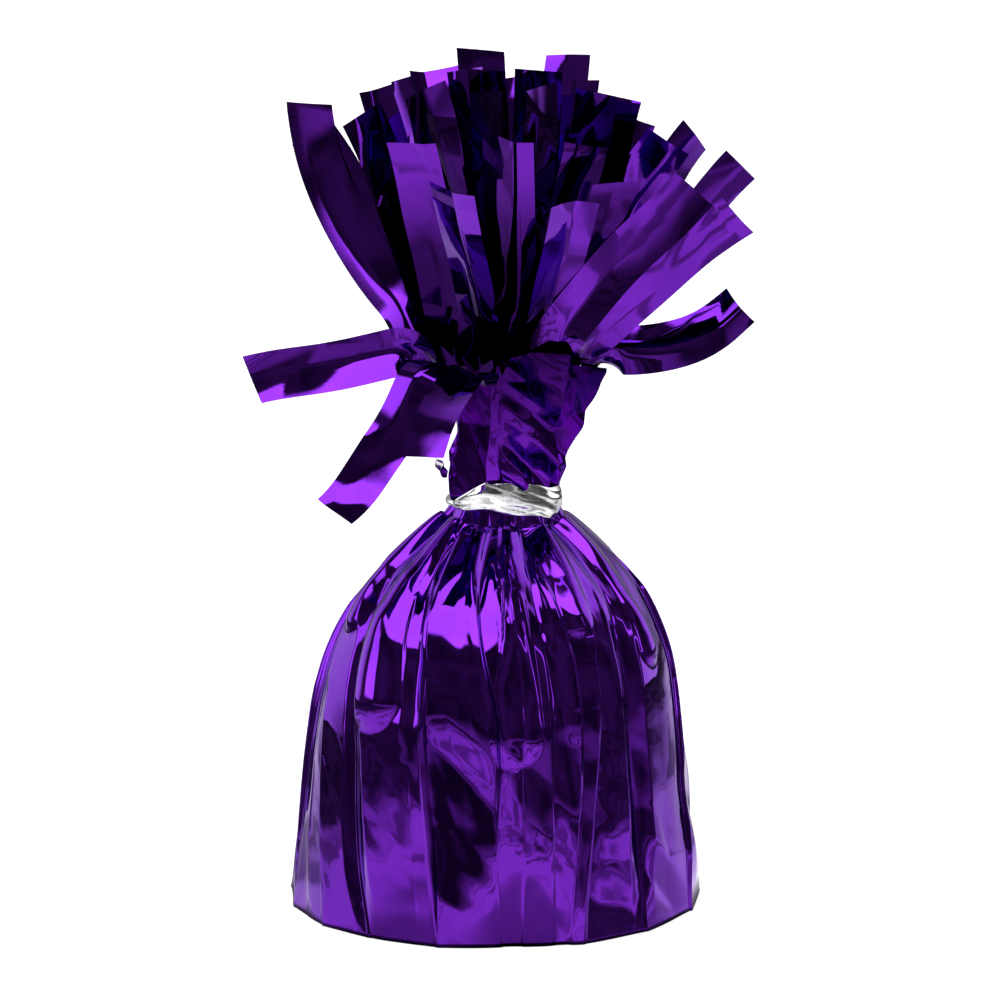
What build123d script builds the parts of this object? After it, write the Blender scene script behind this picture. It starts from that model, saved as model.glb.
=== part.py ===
from build123d import *
import os
from collections import namedtuple
from math import cos, radians, sin, sqrt, tan

# Foil-wrapped balloon weight.
# A cast plaster weight stands inside a sheet of metallised film. The film passes under the weight,
# rises in knife pleats, is gathered to a neck by a silver tie and ends in a fringe of cut strips.
# Millimetres, +Z up, origin at the centre of the face that it stands on. Azimuth 0 is +X, 270 is the front.

# Film, drawn thicker than the real sheet so that every wall is a closed solid
film_thickness = 0.25
fit_gap = 0.3

# Skirt of the wrapper: a tapered wall that is drawn in above the shoulder, and leans a little to one side
base_diameter = 70.0
wall_taper = 0.126
shoulder_height = 33.0
neck_diameter = 19.8
tie_height = 68.5
dome_power = 2.6
lean_height = 45.0
lean_power = 1.5
wall_shift = 0.8
panel_inset = 0.9

# Small pleats where the film is gathered at the neck
pleat_count = 20
pleat_wander = 1.5
pleat_uneven = 137.5
pleat_lean = 9.0
neck_pleat_depth = 2.2
valley_share = 0.5

# Cast weight
core_gap = 1.0
core_side_height = 38.0
core_dome_share = 0.72
core_edge_chamfer = 1.5

# Gathered neck above the tie, which flares and leans to one side
neck_top_height = 90.0
neck_rim = 1.4
tie_shift = 1.8
rim_shift = 3.0

# Silver tie: one flat film ribbon wound round the neck, with its two ends twisted together
tie_turns = 2.25
tie_ribbon_height = 1.5
tie_ribbon_thickness = 0.7
tie_turn_gap = 0.5
tie_start_azimuth = 85.0
tail_length = 7.0
tail_width = 1.7
tail_thickness = 0.6
tail_twist = 300.0
tail_lean = 28.0
tail_taper = 0.5

# Fringe
strip_width = 8.2
strip_length = 47.0
ring_fill = 0.82
rim_lean = 22.0
root_bend_share = 0.3
opening_share = 0.5
strip_stations = 12
root_lift = 0.1

# One fold of the skirt: its azimuth at four heights, how far its middle stands out of the panels (in, when negative),
# the angle that it takes up before and after its middle, and the height at which it starts
Fold = namedtuple("Fold", "base wall shoulder dome rise before after start")
fold_heights = (0.0, 20.0, 38.0, 54.0)
fold_growth = (0.3, 0.8, 1.0, 1.0)
fold_ramp = 10.0
folds = (
    Fold(3, 6, 14, 17, 0.9, 6, 1.5, 0),
    Fold(22, 25, 33, 36, -1.5, 4.5, 4.5, 0),
    Fold(47, 46, 50, 50, 0.9, 6, 1.5, 0),
    Fold(65, 65, 70, 69, 1.1, 1.5, 6, 0),
    Fold(90, 87, 88, 84, -1.3, 4.5, 4.5, 0),
    Fold(109, 106, 107, 102, 1.0, 6, 1.5, 0),
    Fold(130, 126, 125, 119, 0.9, 1.5, 6, 0),
    Fold(152, 146, 144, 136, -1.6, 4.5, 4.5, 0),
    Fold(173, 166, 163, 153, 1.0, 6, 1.5, 0),
    Fold(194, 186, 181, 170, 0.8, 6, 1.5, 0),
    Fold(215, 206.5, 200, 187, 1.1, 1.5, 9, 0),
    Fold(233, 223.5, 217, 205, -2.1, 5, 5, 0),
    Fold(247, 237, 231.5, 221.5, 2.0, 7, 5, 36),
    Fold(254.5, 250.4, 246.2, 238, 1.0, 1.5, 9, 0),
    Fold(272, 270.5, 270, 260, 1.2, 1.5, 9, 18),
    Fold(289.5, 295, 297.2, 292.8, 1.0, 5, 1.5, 18),
    Fold(296, 300.2, 304.6, 308.8, 1.0, 3, 1.5, 0),
    Fold(317, 319.3, 320, 325.5, -2.0, 5, 5, 0),
    Fold(332, 334, 338, 345, 0.6, 4, 1.5, 0),
    Fold(344, 348, 356, 362, 1.0, 1.5, 8, 0),
)

# One ring of roots round the neck's top: its radius, and how many strips would fill it
Ring = namedtuple("Ring", "radius slots")
inner_ring_radius = 3.2
middle_ring_radius = 6.6
upper_ring_radius = 9.8
outer_ring_radius = 13.0
inner_ring = Ring(inner_ring_radius, 4)
middle_ring = Ring(middle_ring_radius, 7)
upper_ring = Ring(upper_ring_radius, 11)
outer_ring = Ring(outer_ring_radius, 16)

# One strip: where its root stands round the ring, the way it leans, how far off upright it leans after its root bend,
# how much more it bends by its tip, how far its face turns about its own line, and its length as a share
Strip = namedtuple("Strip", "name root_azimuth heading flare droop turn length")
inner_strips = (
    Strip("fringe_inner_right_rear", 45, 45, 2, 1, 0, 1.05),
    Strip("fringe_inner_left_rear", 135, 135, 2, 1, 0, 1.07),
    Strip("fringe_inner_left_front", 225, 225, 3, 1, 0, 1.02),
    Strip("fringe_inner_right_front", 315, 315, 3, 1, 0, 1.04),
)
middle_strips = (
    Strip("fringe_middle_right_rear", 20, 20, 9, 2, -30, 1.0),
    Strip("fringe_middle_rear_right", 71, 71, 7, 2, 0, 1.05),
    Strip("fringe_middle_rear_left", 122, 122, 7, 2, 0, 1.06),
    Strip("fringe_middle_left", 174, 174, 9, 2, 40, 1.02),
    Strip("fringe_middle_left_front", 222, 222, 12, 2, 0, 0.98),
    Strip("fringe_middle_front", 271, 267, 22, 0, -8, 0.96),
    Strip("fringe_middle_right_front", 322, 328, 11, 2, 20, 0.86),
)
upper_strips = (
    Strip("fringe_upper_right", 355, 338, 16, 20, 40, 0.93),
    Strip("fringe_upper_right_rear", 27, 28, 12, 2, -35, 0.98),
    Strip("fringe_upper_rear_right", 60, 66, 15, 2, 0, 1.02),
    Strip("fringe_upper_rear", 102, 104, 15, 2, 0, 1.12),
    Strip("fringe_upper_rear_left", 134, 137, 16, 2, 0, 1.05),
    Strip("fringe_upper_left_rear", 167, 172, 20, 2, 45, 0.97),
    Strip("fringe_upper_left", 208, 242, 21, 4, 20, 0.96),
    Strip("fringe_upper_front_left", 243, 256, 34, 6, 10, 0.91),
    Strip("fringe_upper_front_right", 294, 290, 28, 6, 4, 0.80),
    Strip("fringe_upper_right_front", 325, 322, 18, 2, 30, 0.76),
)
outer_strips = (
    Strip("fringe_outer_right", 11, 14, 38, 7, -112, 0.91),
    Strip("fringe_outer_right_rear", 36, 12, 26, 11, -100, 0.92),
    Strip("fringe_outer_rear_right", 56, 49, 28, 2, -10, 0.93),
    Strip("fringe_outer_rear_mid_right", 78, 73, 26, 2, 0, 1.14),
    Strip("fringe_outer_rear", 98, 88, 24, 2, 0, 1.04),
    Strip("fringe_outer_rear_mid_left", 118, 111, 25, 2, 0, 1.08),
    Strip("fringe_outer_rear_left", 139, 126, 25, 2, 10, 1.04),
    Strip("fringe_outer_left_rear", 161, 140, 38, 4, 62, 1.0),
    Strip("fringe_outer_left", 183, 135, 56, -43, 64, 1.13),
    Strip("fringe_outer_front_right", 286, 329, 40, 8, 60, 1.0),
    Strip("fringe_outer_right_front", 311, 348, 46, 7, 66, 0.88),
)
loose_strips = (
    Strip("loose_strip_left", 205, 187, 102, -4, -104, 0.72),
    Strip("loose_strip_front_left", 227, 216, 152, -26, 33, 0.77),
    Strip("loose_strip_front", 250, 238, 111, 40, 0, 0.54),
    Strip("loose_strip_right", 336, 340, 94, -50, 97, 0.67),
)

base_radius = base_diameter / 2
neck_radius = neck_diameter / 2
tie_pitch = tie_ribbon_height + tie_turn_gap
tie_radius = neck_radius + fit_gap + tie_ribbon_thickness / 2
tie_rise = tie_pitch * tie_turns
gather_height = tie_height - (tie_rise + tie_ribbon_height) / 2 - fit_gap
flare_height = tie_height + (tie_rise + tie_ribbon_height) / 2 + fit_gap
dome_drop = base_radius - wall_taper * gather_height - neck_radius
deepest_fold = -min(fold.rise for fold in folds)
neck_top_radius = outer_ring.radius + film_thickness / 2 + neck_rim


# Two tangent arcs that join two points whose directions are known
def biarc(start, start_direction, end, end_direction):
    chord = end - start
    both = start_direction + end_direction
    turn = 2 * (1 - start_direction.dot(end_direction))
    along = chord.dot(both)
    reach = (sqrt(along**2 + turn * chord.dot(chord)) - along) / turn
    middle = (start + start_direction * reach + end - end_direction * reach) / 2
    first = Edge.make_tangent_arc(start, start_direction, middle)
    second = Edge.make_tangent_arc(middle, first.tangent_at(1), end)
    return [first, second]


# Share of the way up the dome, from 0 at the shoulder to 1 where the neck starts
def dome_share(z):
    return min(1.0, max(0.0, (z - shoulder_height) / (gather_height - shoulder_height)))


# Radius of the bell: a straight taper all the way up, less a drop that grows above the shoulder
def bell_radius(z):
    return base_radius - wall_taper * z - dome_drop * dome_share(z) ** dome_power


# Sideways lean of the bell, which reaches the tie's own shift at the neck
def bell_shift(z):
    share = min(1.0, z / lean_height)
    return wall_shift * share**lean_power + (tie_shift - wall_shift) * dome_share(z)


# Value at a height, on straight lines between values at known heights
def between(z, heights, values):
    for low, high, first, last in zip(heights, heights[1:], values, values[1:]):
        if z <= high:
            return first + (last - first) * (z - low) / (high - low)
    return values[-1]


# Ridge and valley of each small pleat at the neck: azimuth and reach
def neck_pleats(radius, depth, climb):
    step = 360 / pleat_count
    pairs = []
    for pleat in range(pleat_count):
        ridge = pleat * step + pleat_wander * sin(radians(pleat_uneven * pleat)) + pleat_lean * climb
        pairs.append(((ridge, radius), (ridge + valley_share * step, radius - depth)))
    return pairs


def film_point(z, shift, azimuth, reach):
    return Vector(shift + reach * cos(radians(azimuth)), reach * sin(radians(azimuth)), z)


# Closed outline of one level of the pleated neck
def pleat_outline(z, radius, depth, climb, shift):
    points = []
    for ridge, valley in neck_pleats(radius, depth, climb):
        points += [film_point(z, shift, *ridge), film_point(z, shift, *valley)]
    return Wire.make_polygon(points, close=True)


# Closed outline of one level of the folded wall: three points for each fold
def fold_outline(z, inset):
    growth = between(z, fold_heights, fold_growth)
    panel = bell_radius(z) - panel_inset * growth - inset
    heights = (*fold_heights, gather_height)
    ends = neck_pleats(neck_radius, neck_pleat_depth, gather_height / tie_height)
    points = []
    for fold, (ridge, _) in zip(folds, ends):
        azimuth = between(z, heights, (fold.base, fold.wall, fold.shoulder, fold.dome, ridge[0]))
        rise = fold.rise * growth
        if fold.start > 0:
            rise *= min(1.0, max(0.0, (z - fold.start) / fold_ramp))
        for angle, reach in ((-fold.before, 0.0), (0.0, rise), (fold.after, 0.0)):
            points.append(film_point(z, bell_shift(z), azimuth + angle, panel + reach))
    return Wire.make_polygon(points, close=True)


# Closed outline of one level where the wall meets the neck: each pleat's ridge and valley, and a point before the ridge
def gathered_outline(z, inset):
    pleats = neck_pleats(neck_radius - inset, neck_pleat_depth, z / tie_height)
    points = []
    for (_, last_valley), (ridge, valley) in zip([pleats[-1], *pleats[:-1]], pleats):
        low = film_point(z, tie_shift, *last_valley)
        high = film_point(z, tie_shift, *ridge)
        points += [(low + high) / 2, high, film_point(z, tie_shift, *valley)]
    return Wire.make_polygon(points, close=True)


# The film is one wall that closes under the weight in a flat sole
def make_skirt():
    wall = (20.0, 38.0, 46.0, 54.0, 60.0)
    outside = [fold_outline(z, 0.0) for z in (0.0, *wall)]
    outside += [gathered_outline(z, 0.0) for z in (gather_height, tie_height)]
    inside = [fold_outline(z, film_thickness) for z in (film_thickness, *wall)]
    above_tie = tie_height + film_thickness
    inside += [gathered_outline(z, film_thickness) for z in (gather_height, above_tie)]
    return Solid.make_loft(outside, ruled=True) - Solid.make_loft(inside, ruled=True)


# The weight stands clear of the deepest fold on its wall and of half that depth at its foot
def make_core():
    clear = panel_inset + film_thickness + core_gap
    foot_radius = base_radius - clear - deepest_fold / 2
    top_radius = bell_radius(core_side_height) - clear - deepest_fold
    foot = film_thickness
    crown = core_side_height + core_dome_share * (gather_height - core_side_height)
    chamfered = (foot_radius - core_edge_chamfer, foot)
    edge = (foot_radius, foot + core_edge_chamfer)
    side = Polyline((0, crown), (0, foot), chamfered, edge, (top_radius, core_side_height))
    dome = biarc(Vector(top_radius, core_side_height), Vector(0, 1), Vector(0, crown), Vector(-1, 0))
    return revolve(Plane.XZ * make_face([*side.edges(), *dome]), Axis.Z)


# The neck is straight under the tie and flares above it
def make_neck():
    rise = neck_top_height - flare_height
    levels = [(tie_height, neck_radius, neck_pleat_depth, 1.0, tie_shift)]
    for share in (0.0, 0.4, 0.75, 1.0):
        z = flare_height + rise * share
        radius = neck_radius + (neck_top_radius - neck_radius) * share**2
        shift = tie_shift + (rim_shift - tie_shift) * share
        levels.append((z, radius, neck_pleat_depth, z / tie_height, shift))
    return Solid.make_loft([pleat_outline(*level) for level in levels], ruled=True)


# Point and direction of the tie's middle line after a number of turns
def tie_frame(turn):
    angle = radians(tie_start_azimuth) + radians(360 * turn)
    height = tie_height - tie_rise / 2 + tie_pitch * turn
    point = Vector(tie_shift + tie_radius * cos(angle), tie_radius * sin(angle), height)
    climb = tie_pitch / radians(360)
    direction = Vector(-tie_radius * sin(angle), tie_radius * cos(angle), climb).normalized()
    return point, direction


def make_tie_band():
    quarter = 0.25
    edges = []
    for step in range(round(tie_turns / quarter)):
        edges += biarc(*tie_frame(step * quarter), *tie_frame((step + 1) * quarter))
    path = Wire(edges)
    start, direction = tie_frame(0)
    outward = Vector(start.X - tie_shift, start.Y, 0).normalized()
    section = Plane(start, x_dir=outward, z_dir=direction)
    return sweep(section * Rectangle(tie_ribbon_thickness, tie_ribbon_height), path=path)


# Least distance between two turns of the tie, measured on points along its middle line
def tie_self_gap():
    samples_per_turn = 72
    count = round(samples_per_turn * tie_turns)
    line = [tie_frame(step / samples_per_turn)[0] for step in range(count + 1)]
    apart = samples_per_turn // 2
    nearest = min(
        (line[a] - line[b]).length for a in range(len(line)) for b in range(a + apart, len(line))
    )
    return nearest - tie_ribbon_height


# The tie's ends, twisted together into a short tapered tail that leans out beside the neck
def make_tie_tail():
    turn_end, _ = tie_frame(tie_turns)
    outward = Vector(turn_end.X - tie_shift, turn_end.Y, 0).normalized()
    lift = tie_ribbon_height / 2 + fit_gap / 2
    root = Vector(turn_end.X, turn_end.Y, turn_end.Z + lift) + outward * (tail_width / 2)
    rise = Vector(0, 0, cos(radians(tail_lean))) + outward * sin(radians(tail_lean))
    sections = []
    stations = 6
    for station in range(stations + 1):
        share = station / stations
        along = Plane(root + rise * (tail_length * share), x_dir=outward.cross(rise), z_dir=rise)
        taper = 1 - tail_taper * share
        turned = along.rotated((0, 0, tail_twist * share))
        sections.append((turned * Rectangle(tail_width * taper, tail_thickness * taper)).wire())
    return Solid.make_loft(sections, ruled=True)


# Sideways and upward travel along an arc that turns from one angle off vertical to another
def arc_travel(start_angle, end_angle, length):
    first = radians(start_angle)
    last = radians(end_angle)
    if abs(last - first) < 1e-6:
        return length * sin(first), length * cos(first)
    radius = length / (last - first)
    return radius * (cos(first) - cos(last)), radius * (sin(last) - sin(first))


# Place of a strip's middle line at a share of its length: outward and upward travel, and its angle off upright.
# The root bend turns it from the neck's lean to its flare, and the rest droops or curls up in one longer arc.
def strip_line(strip, root_lean, share):
    length = strip.length * strip_length
    bend_length = root_bend_share * length
    if share <= root_bend_share:
        part = share / root_bend_share
        angle = root_lean + (strip.flare - root_lean) * part
        out, up = arc_travel(root_lean, angle, bend_length * part)
        return out, up, angle
    part = (share - root_bend_share) / (1 - root_bend_share)
    angle = strip.flare + strip.droop * part
    out, up = arc_travel(root_lean, strip.flare, bend_length)
    more_out, more_up = arc_travel(strip.flare, angle, (length - bend_length) * part)
    return out + more_out, up + more_up, angle


# Rises smoothly from 0 to 1 as the share goes from 0 to 1, and stays there
def ease(share):
    held = min(1.0, share)
    return held * held * (3 - 2 * held)


# One strip of film, gathered at its root to the room that its ring leaves and opening to its cut width
def make_strip(strip, ring):
    outward = Vector(cos(radians(strip.heading)), sin(radians(strip.heading)), 0)
    across = Vector(-outward.Y, outward.X, 0)
    upright = Vector(0, 0, 1)
    place = radians(strip.root_azimuth)
    root = Vector(rim_shift + ring.radius * cos(place), ring.radius * sin(place), neck_top_height + root_lift)
    root_lean = rim_lean * ring.radius / outer_ring.radius
    root_width = ring_fill * 2 * ring.radius * tan(radians(180 / ring.slots))
    sections = []
    for station in range(strip_stations + 1):
        share = station / strip_stations
        out, up, angle = strip_line(strip, root_lean, share)
        center = root + outward * out + upright * up
        normal = outward * cos(radians(angle)) - upright * sin(radians(angle))
        turn = radians(strip.turn) * ease(share / root_bend_share)
        width_way = across * cos(turn) + normal * sin(turn)
        thick_way = normal * cos(turn) - across * sin(turn)
        width = root_width + (strip_width - root_width) * ease(share / opening_share)
        half_width = width_way * (width / 2)
        half_thickness = thick_way * (film_thickness / 2)
        corners = (
            center - half_width - half_thickness,
            center + half_width - half_thickness,
            center + half_width + half_thickness,
            center - half_width + half_thickness,
        )
        sections.append(Wire.make_polygon(corners, close=True))
    return Solid.make_loft(sections, ruled=True)


def make_fringe():
    nodes = {}
    tiers = (
        (inner_strips, inner_ring),
        (middle_strips, middle_ring),
        (upper_strips, upper_ring),
        (outer_strips, outer_ring),
        (loose_strips, outer_ring),
    )
    for strips, ring in tiers:
        for strip in strips:
            nodes[strip.name] = make_strip(strip, ring)
    return nodes


def make_nodes():
    nodes = {
        "weight_core": make_core(),
        "foil_skirt": make_skirt(),
        "foil_neck": make_neck(),
        "tie_band": make_tie_band(),
        "tie_tail": make_tie_tail(),
    }
    nodes.update(make_fringe())
    return nodes


os.makedirs("parts", exist_ok=True)
for node_name, shape in make_nodes().items():
    export_step(shape, f"parts/{node_name}.step")
print("least gap between turns of the tie", round(tie_self_gap(), 3))
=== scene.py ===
import math
import bpy
import numpy as np
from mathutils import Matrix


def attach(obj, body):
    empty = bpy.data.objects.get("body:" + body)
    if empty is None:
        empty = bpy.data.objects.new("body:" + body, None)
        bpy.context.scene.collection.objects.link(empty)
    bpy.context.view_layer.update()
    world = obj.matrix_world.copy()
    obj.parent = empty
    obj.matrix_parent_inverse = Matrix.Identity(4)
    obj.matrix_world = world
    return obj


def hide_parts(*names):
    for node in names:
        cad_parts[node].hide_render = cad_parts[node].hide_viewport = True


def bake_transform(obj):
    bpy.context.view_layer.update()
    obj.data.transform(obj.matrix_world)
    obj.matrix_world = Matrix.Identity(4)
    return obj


# Balloon weight in purple metallised film: skirt, neck, silver tie and a fringe of cut strips
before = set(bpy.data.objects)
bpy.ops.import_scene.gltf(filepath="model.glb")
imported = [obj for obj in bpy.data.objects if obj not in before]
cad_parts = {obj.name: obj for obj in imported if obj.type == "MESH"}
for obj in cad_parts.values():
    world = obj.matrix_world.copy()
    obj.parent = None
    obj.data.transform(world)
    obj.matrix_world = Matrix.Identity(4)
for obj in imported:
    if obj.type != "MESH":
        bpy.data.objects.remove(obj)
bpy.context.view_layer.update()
scene = bpy.context.scene
scene.view_settings.view_transform = "Standard"
mm = 0.001
mainBody = "wrapped_weight"
print("frame loaded with", len(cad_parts), "nodes")

cameraView = {"place": (0.00093, -1.108, 0.307), "pitchDown": 12.16, "lens": 243.7, "sensor": 36.0}


def placeCamera(view):
    lensData = bpy.data.cameras.new("photoCamera")
    lensData.lens = view["lens"]
    lensData.sensor_width = view["sensor"]
    eye = bpy.data.objects.new("photoCamera", lensData)
    eye.location = view["place"]
    eye.rotation_euler = (math.radians(90.0 - view["pitchDown"]), 0.0, 0.0)
    scene.collection.objects.link(eye)
    scene.camera = eye


placeCamera(cameraView)
print("camera placed")


# A grid of points in mm becomes a mesh of quads; the last column joins the first when the grid is closed
def gridPiece(name, points, material, closed=False):
    rows, columns = points.shape[:2]
    index = np.arange(rows * columns).reshape(rows, columns)
    if closed:
        index = np.concatenate([index, index[:, :1]], axis=1)
    corners = [index[:-1, :-1], index[:-1, 1:], index[1:, 1:], index[1:, :-1]]
    quads = np.stack(corners, axis=-1).reshape(-1, 4)
    mesh = bpy.data.meshes.new(name)
    mesh.from_pydata(points.reshape(-1, 3) * mm, [], quads)
    mesh.polygons.foreach_set("use_smooth", np.full(len(quads), True))
    across = np.linspace(0.0, 1.0, index.shape[1])
    along = np.linspace(0.0, 1.0, rows)
    uv = np.stack(np.broadcast_arrays(across[None, :], along[:, None]), axis=-1)
    steps = [uv[:-1, :-1], uv[:-1, 1:], uv[1:, 1:], uv[1:, :-1]]
    layer = mesh.uv_layers.new(name="filmMap")
    layer.data.foreach_set("uv", np.stack(steps, axis=2).reshape(-1))
    mesh.materials.append(material)
    mesh.update()
    piece = bpy.data.objects.new(name, mesh)
    scene.collection.objects.link(piece)
    return piece


# Smoothstep: 3x squared less 2x cubed, held between 0 and 1
def ease(x):
    x = np.clip(x, 0.0, 1.0)
    return x * x * (3.0 - 2.0 * x)


# Triangle wave from -1 to 1 with period 1, so its slopes are straight and its turns are sharp
def zigzag(x):
    return 4.0 * np.abs(x - np.floor(x + 0.5)) - 1.0


# Signed turn from one angle to another in degrees, between -180 and 180
def turnFrom(start, angle):
    return (angle - start + 180.0) % 360.0 - 180.0


# Seeded waves across a surface: each has a direction, a phase and a stretch of the pitch
def waveRuns(across, up, waves, stretchRange):
    chance = np.random.default_rng(waves["seed"])
    ways = chance.uniform(0, np.pi, waves["count"])
    phases = chance.random(waves["count"])
    stretches = chance.uniform(*stretchRange, waves["count"])
    for way, phase, stretch in zip(ways, phases, stretches):
        run = across * math.cos(way) + up * math.sin(way)
        yield run / (waves["pitch"] * stretch) + phase, stretch


# Crumpled film: a sum of seeded triangle waves, flat facets between creases
def facets(across, up, waves):
    runs = waveRuns(across, up, waves, stretchRange=(0.7, 1.6))
    return sum(zigzag(run) * stretch for run, stretch in runs) / waves["count"]


# Gentle swells: a sum of seeded sine waves
def swells(across, up, waves):
    runs = waveRuns(across, up, waves, stretchRange=(0.7, 1.5))
    return sum(np.sin(2 * np.pi * run) for run, _ in runs) / math.sqrt(waves["count"])


# Crushed facets: chance heights on a slanted lattice, joined by flat triangles
def shards(across, up, pitch, seed):
    size = 32  # lattice points each way before the heights repeat
    table = np.random.default_rng(seed).uniform(-1.0, 1.0, (size, size))
    v = up / pitch[1]
    u = across / pitch[0] + 0.5 * v
    i = np.floor(u).astype(int)
    j = np.floor(v).astype(int)
    fu, fv = u - i, v - j
    low = table[i % size, j % size]
    right = table[(i + 1) % size, j % size]
    above = table[i % size, (j + 1) % size]
    far = table[(i + 1) % size, (j + 1) % size]
    near = low + (right - low) * fu + (above - low) * fv
    beyond = far + (above - far) * (1.0 - fu) + (right - far) * (1.0 - fv)
    return np.where(fu + fv < 1.0, near, beyond)


# Coarse crushed facets with finer ones on top
def crumples(across, up, crush, number=0):
    coarse = shards(across, up, crush["pitch"], crush["seed"] + number)
    fine = shards(across, up, crush["finePitch"], crush["fineSeed"] + number)
    return crush["depth"] * coarse + crush["fine"] * fine


def linkMath(tree, operation, *values):
    node = tree.nodes.new("ShaderNodeMath")
    node.operation = operation
    for socket, value in zip(node.inputs, values):
        if isinstance(value, (int, float)):
            socket.default_value = value
        else:
            tree.links.new(value, socket)
    return node.outputs[0]


# The product of several values, taken from left to right
def linkProduct(tree, first, *others):
    for other in others:
        first = linkMath(tree, "MULTIPLY", first, other)
    return first


# What is left of 1 after the value
def linkRest(tree, value):
    return linkMath(tree, "SUBTRACT", 1.0, value)


# A rise from start to end while the value goes from low to high, smooth at both ends unless told otherwise
def linkRise(tree, value, low, high, start=0.0, end=1.0, smooth=True):
    node = tree.nodes.new("ShaderNodeMapRange")
    node.interpolation_type = "SMOOTHSTEP" if smooth else "LINEAR"
    tree.links.new(value, node.inputs["Value"])
    node.inputs["From Min"].default_value = low
    node.inputs["From Max"].default_value = high
    node.inputs["To Min"].default_value = start
    node.inputs["To Max"].default_value = end
    return node.outputs[0]


# A band that rises at its lower edge and falls at its upper edge
def linkBand(tree, value, low, high, soft):
    rise = linkRise(tree, value, low - soft, low + soft)
    fall = linkRise(tree, value, high - soft, high + soft)
    return linkMath(tree, "SUBTRACT", rise, fall)


def linkNoise(tree, place, scale, detail):
    node = tree.nodes.new("ShaderNodeTexNoise")
    node.inputs["Scale"].default_value = scale
    node.inputs["Detail"].default_value = detail
    tree.links.new(place, node.inputs["Vector"])
    return node.outputs["Fac"]


def linkTone(tree, factor, first, second):
    node = tree.nodes.new("ShaderNodeMix")
    node.data_type = "RGBA"
    node.inputs["A"].default_value = (*first, 1.0)
    node.inputs["B"].default_value = (*second, 1.0)
    tree.links.new(factor, node.inputs["Factor"])
    return node.outputs["Result"]


def linkBump(tree, shader, height, strength, depth):
    node = tree.nodes.new("ShaderNodeBump")
    node.inputs["Strength"].default_value = strength
    node.inputs["Distance"].default_value = depth
    tree.links.new(height, node.inputs["Height"])
    tree.links.new(node.outputs["Normal"], shader.inputs["Normal"])


# The first shader where the switch is 0, the second where it is 1
def linkSwitch(tree, switch, first, second):
    node = tree.nodes.new("ShaderNodeMixShader")
    for socket, value in zip(node.inputs, (switch, first, second)):
        tree.links.new(value, socket)
    return node.outputs[0]


def linkAxes(tree, vector):
    node = tree.nodes.new("ShaderNodeSeparateXYZ")
    tree.links.new(vector, node.inputs[0])
    return node.outputs


def inRadians(degrees):
    return [math.radians(angle) for angle in degrees]


# Light: a white backdrop behind, a soft box high up in front, a wide lamp at the left, a narrow one at the
# right, a dim room and a lit table. Sides and heights are degrees from the front and from level, with the
# softness of a band's edges last.
studio = {
    "dim": 0.04, "clutter": 0.13, "clutterScale": 2.6, "clutterDetail": 3.0, "clutterRise": (0.35, 0.68),
    "backdrop": 1.75, "backdropSides": (101, 115), "backdropTop": (40, 70),
    "backdropFall": 1.45, "fallSides": (128, 150),
    "softBox": 4.0, "boxSides": (-73, 68, 3.0), "boxHeights": (55, 79, 1.2),
    "table": 0.55, "tableTop": (-1.5, 4.0), "tableSides": (30, 75),
    "lamps": 3.2, "leftLamp": (-92, -63, 1.5), "rightLamp": (57, 60.5, 1.0), "lampHeights": (9, 46, 3.0),
}


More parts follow.
